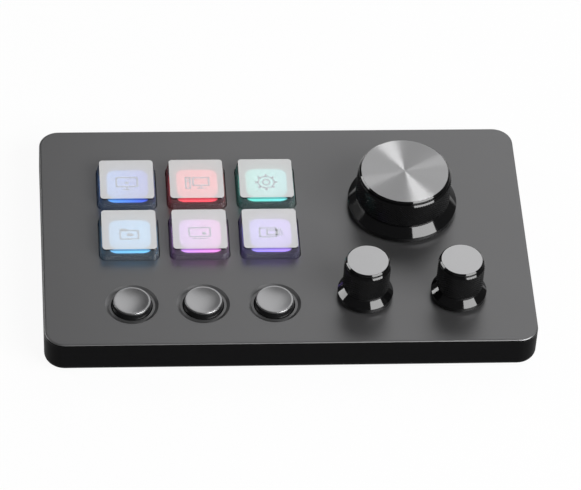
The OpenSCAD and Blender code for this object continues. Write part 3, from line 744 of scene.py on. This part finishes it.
class KEYPAD_OT_inner_finish(bpy.types.Operator):
    """Finish the board and the works inside the case"""

    bl_idname = "keypad.inner_finish"
    bl_label = "Inner finishes"

    def execute(self, context):
        dress(["main_board"], moulded("board_laminate", (0.01, 0.06, 0.025), 0.35, 1500, spread=0.3))
        dress(["key_guide"], moulded("guide_plastic", (0.02, 0.02, 0.022), 0.5))
        dress(["dome_mat"], moulded("silicone_mat", (0.55, 0.55, 0.52), 0.6, 900))
        dress(["display_tails"], moulded("amber_film", (0.5, 0.22, 0.03), 0.3, 700))
        dress(["display_sockets"], moulded("ivory_plastic", (0.7, 0.66, 0.55), 0.5))
        dress(["main_chip"], moulded("chip_resin", (0.02, 0.02, 0.022), 0.55, 4000))
        dress(["board_parts"], moulded("part_ceramic", (0.32, 0.25, 0.16), 0.5, 3000, spread=0.3))
        dress(of_knobs("encoder"), moulded("encoder_steel", (0.45, 0.45, 0.46), 0.35, metal=1.0))
        dress(of_knobs("bushing"), moulded("bushing_brass", (0.55, 0.5, 0.38), 0.3, metal=1.0))
        dress(["encoder_nuts"], moulded("nut_steel", (0.55, 0.55, 0.57), 0.3, metal=1.0))
        dress(of_knobs("shaft"), moulded("shaft_steel", (0.58, 0.58, 0.6), 0.25, metal=1.0))
        dress(of_knobs("plunger"), moulded("plunger_plastic", (0.7, 0.7, 0.68), 0.4))
        return {"FINISHED"}


class KEYPAD_OT_key_finish(bpy.types.Operator):
    """Finish the clear caps, their black frames and the displays"""

    bl_idname = "keypad.key_finish"
    bl_label = "Key finishes"

    def execute(self, context):
        for key in KEYS:
            dress([f"keycap_{key}"], clear_cap_finish(key))
        dress(of_keys("key_frame"), moulded("frame_plastic", (0.008, 0.008, 0.009), 0.3))
        dress(of_keys("display"), moulded("display_glass", (0.01, 0.01, 0.012), 0.2, 800))
        return {"FINISHED"}


class KEYPAD_OT_key_pictures(bpy.types.Operator):
    """Make the lit picture in each key"""

    bl_idname = "keypad.key_pictures"
    bl_label = "Key pictures"

    def execute(self, context):
        sizes, colours = context.scene.keypad_sizes, context.scene.keypad_colours
        start = middle("display_1")
        root, corner = 0.01 * MM, 0.9 * MM
        low = PICTURE_Z - root
        high = PICTURE_Z + sizes.picture_depth
        first = rounded_sheet("picture_1", start, PICTURE_WIDTH, PICTURE_WIDTH, corner, low, high - low)
        for key in KEYS:
            centre = middle(f"display_{key}")
            piece = first if key == 1 else copy_to(first, f"picture_{key}", centre - start)
            finished(piece, picture_finish(key, centre, sizes, colours.glow), f"key_{key}")
        return {"FINISHED"}


class KEYPAD_OT_key_films(bpy.types.Operator):
    """Make the pale film on each key's top and the pictogram printed on it"""

    bl_idname = "keypad.key_films"
    bl_label = "Key films"

    def execute(self, context):
        sizes, colours = context.scene.keypad_sizes, context.scene.keypad_colours
        film = film_finish(colours.film)
        ink = moulded("pictogram_ink", colours.ink, 0.5, specular=0.15, spread=0.03)
        low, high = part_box("keycap_1")
        width = high.x - low.x - 2 * sizes.film_inset
        start = middle("keycap_1")
        level = CAP_TOP + PRINT
        thickness = sizes.film_thickness
        above = level + thickness
        first = rounded_sheet("key_film_1", start, width, width, sizes.film_corner, level, thickness)
        for key in KEYS:
            centre = middle(f"keycap_{key}")
            piece = first if key == 1 else copy_to(first, f"key_film_{key}", centre - start)
            finished(piece, film, f"key_{key}")
            place = centre - Vector((0, sizes.sign_shift, 0))
            sign = pictogram(key, place, above - PRINT, above + PRINT, sizes.line)
            finished(sign, ink, f"key_{key}")
        return {"FINISHED"}


class KEYPAD_OT_button_finish(bpy.types.Operator):
    """Finish the round buttons"""

    bl_idname = "keypad.button_finish"
    bl_label = "Button finishes"

    def execute(self, context):
        shade = context.scene.keypad_colours.button
        top_height, top_radius, side_shade = 0.9 * MM, 5.1 * MM, (0.006, 0.006, 0.0065)
        for number in (1, 2, 3):
            node = f"button_cap_{number}"
            finish = Finish(f"satin_{node}", Specular_IOR_Level=0.6)
            x, y, z = finish.axes(middle(node))
            reach = (x * x + y * y) ** 0.5
            top = (z + middle(node).z > PLATE_TOP + top_height) * (reach < top_radius)
            finish.set(
                Base_Color=finish.mix(top, side_shade, shade),
                Metallic=top,
                Roughness=0.2 + top * 0.08,
                Normal=finish.bump(finish.noise(6000, 2), 0.003 * MM, 0.5),
            )
            dress([node], finish.material)
        return {"FINISHED"}


class KEYPAD_OT_knobs(bpy.types.Operator):
    """Make the three knobs: skirt, neck, knurled grip and the rim round the disc"""

    bl_idname = "keypad.knobs"
    bl_label = "Knobs"

    def execute(self, context):
        sizes, colours = context.scene.keypad_sizes, context.scene.keypad_colours
        gloss = knob_finish("knob_gloss", colours.knob)
        for knob in KNOBS:
            form = KNOB_FORMS["large" if knob == "main" else "small"]
            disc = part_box(f"{knob}_disc")
            centre = middle(f"{knob}_disc")
            name = f"{knob}_knob_body"
            radius = form["grip"] * MM
            grip = grip_finish(f"{knob}_knurl", colours.knob, colours.crest_sheen, centre, radius, sizes.knurl_depth)
            if knob == "right":
                piece = copy_to(piece, name, centre - first)
                piece.data.materials[1] = grip
            else:
                first = centre
                piece = self.body(name, centre, disc, form, sizes, (gloss, grip))
            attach(piece, f"{knob}_turn")
            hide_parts(f"{knob}_knob")
        return {"FINISHED"}

    def body(self, name, centre, disc, form, sizes, materials):
        """One knob, turned from the bore out over the skirt to the rim, with its lengths in millimetres."""
        low, top = disc
        rim_height, slope, play = 1.0, 0.45, 0.02
        crown = (top.z - PLATE_TOP) / MM - rim_height
        grip, grip_low = form["grip"], form["grip_low"]
        grip_height = crown - slope - grip_low
        rows = int(grip_height / (sizes.knurl_row / MM))
        row = grip_height / rows
        disc_reach = (top.x - low.x) / 2 / MM
        seat_wall, rim, roof, seat = disc_reach + play, disc_reach + 0.05, crown - 1.0, crown + 0.2
        neck = rim + 0.15
        profile = [*form["inside"](roof), *form["skirt"]]
        profile += [(grip, grip_low + step * row, 0) for step in range(rows + 1)]
        profile += [
            (grip - slope, crown, 0.08), (neck, crown, 0.05), (neck, crown + 0.4, 0),
            (neck + 0.3, crown + 0.55, 0.08), (rim, crown + rim_height, 0),
            (seat_wall, crown + rim_height, 0), (seat_wall, seat, 0),
        ]
        points = [(radius * MM, height * MM + PLATE_TOP) for radius, height in softened(profile)]
        piece = turned(name, centre, points, form["sides"])

        # The bore's flat, which fits the flat of the shaft
        flat, bore = centre.x + 1.52 * MM, 3.1 * MM

        def past_flat(vertex):
            x, y, _ = vertex.co
            return math.hypot(x - centre.x, y - centre.y) < bore and x > flat

        pick(piece, "vertices", past_flat)
        bpy.ops.transform.resize(value=(0, 1, 1), center_override=(flat, centre.y, PLATE_TOP))

        for material in materials:
            piece.data.materials.append(material)
        smooth(piece, 24)
        start = PLATE_TOP + grip_low * MM
        knurl(piece, centre, grip * MM, start, row * MM, rows, form["sides"], sizes.knurl_depth)
        return piece


class KEYPAD_OT_disc_finish(bpy.types.Operator):
    """Finish the knobs' metal discs"""

    bl_idname = "keypad.disc_finish"
    bl_label = "Disc finishes"

    def execute(self, context):
        shade = context.scene.keypad_colours.disc
        for knob in KNOBS:
            turning, bright, metal = (1.0, 0.92, 0.68) if knob == "main" else (0.0, 1.1, 1.0)
            node = f"{knob}_disc"
            dress([node], spun_disc_finish(
                f"{node}_metal", tinted(shade, bright), middle(node), turning, 0.42, metal))
        return {"FINISHED"}


class KEYPAD_OT_socket_contacts(bpy.types.Operator):
    """Make the gold contacts on the socket's tongue"""

    bl_idname = "keypad.socket_contacts"
    bl_label = "Socket contacts"

    def execute(self, context):
        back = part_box("usb_tongue")[1].y
        centre = middle("usb_tongue")
        tongue, count, pitch, set_back = 0.7 * MM, 12, 0.5 * MM, 0.3 * MM
        wide, deep, thick, corner, sunk = 0.3 * MM, 2.6 * MM, 0.03 * MM, 0.05 * MM, 0.005 * MM
        place = (centre.x - (count - 1) / 2 * pitch, back - deep / 2 - set_back)
        upper = centre.z + tongue / 2 - sunk
        lower = centre.z - tongue / 2 + sunk - thick
        parts = [rounded_sheet("contact_0", place, wide, deep, corner, upper, thick, steps=2)]
        for level in (upper, lower):
            for number in range(count):
                if level != upper or number:
                    shift = (number * pitch, 0, level - upper)
                    parts.append(copy_to(parts[0], f"contact_{len(parts)}", shift))
        gold = moulded("contact_gold", (0.83, 0.6, 0.22), 0.25, 2500, metal=1.0, spread=0.05)
        finished(joined("socket_contacts", parts), gold, "case")
        return {"FINISHED"}


class KEYPAD_PT_panel(bpy.types.Panel):
    """Lists the keypad's steps"""

    bl_idname = "KEYPAD_PT_panel"
    bl_label = "Keypad"
    bl_space_type = "VIEW_3D"
    bl_region_type = "UI"
    bl_category = "Keypad"

    def draw(self, context):
        for step in STEPS:
            self.layout.operator(step.bl_idname)
        for group in (context.scene.keypad_sizes, context.scene.keypad_colours):
            for name in type(group).__annotations__:
                self.layout.prop(group, name)


STEPS = (
    KEYPAD_OT_stage,
    KEYPAD_OT_case_finish,
    KEYPAD_OT_inner_finish,
    KEYPAD_OT_key_finish,
    KEYPAD_OT_key_pictures,
    KEYPAD_OT_key_films,
    KEYPAD_OT_button_finish,
    KEYPAD_OT_knobs,
    KEYPAD_OT_disc_finish,
    KEYPAD_OT_socket_contacts,
)
CLASSES = (KeypadSizes, KeypadColours, *STEPS, KEYPAD_PT_panel)


def register():
    for cls in CLASSES:
        bpy.utils.register_class(cls)
    bpy.types.Scene.keypad_sizes = bpy.props.PointerProperty(type=KeypadSizes)
    bpy.types.Scene.keypad_colours = bpy.props.PointerProperty(type=KeypadColours)


def unregister():
    del bpy.types.Scene.keypad_colours
    del bpy.types.Scene.keypad_sizes
    for cls in reversed(CLASSES):
        bpy.utils.unregister_class(cls)


def main():
    register()
    for step in STEPS:
        getattr(bpy.ops.keypad, step.bl_idname.split(".")[1])()


if __name__ == "__main__":
    main()
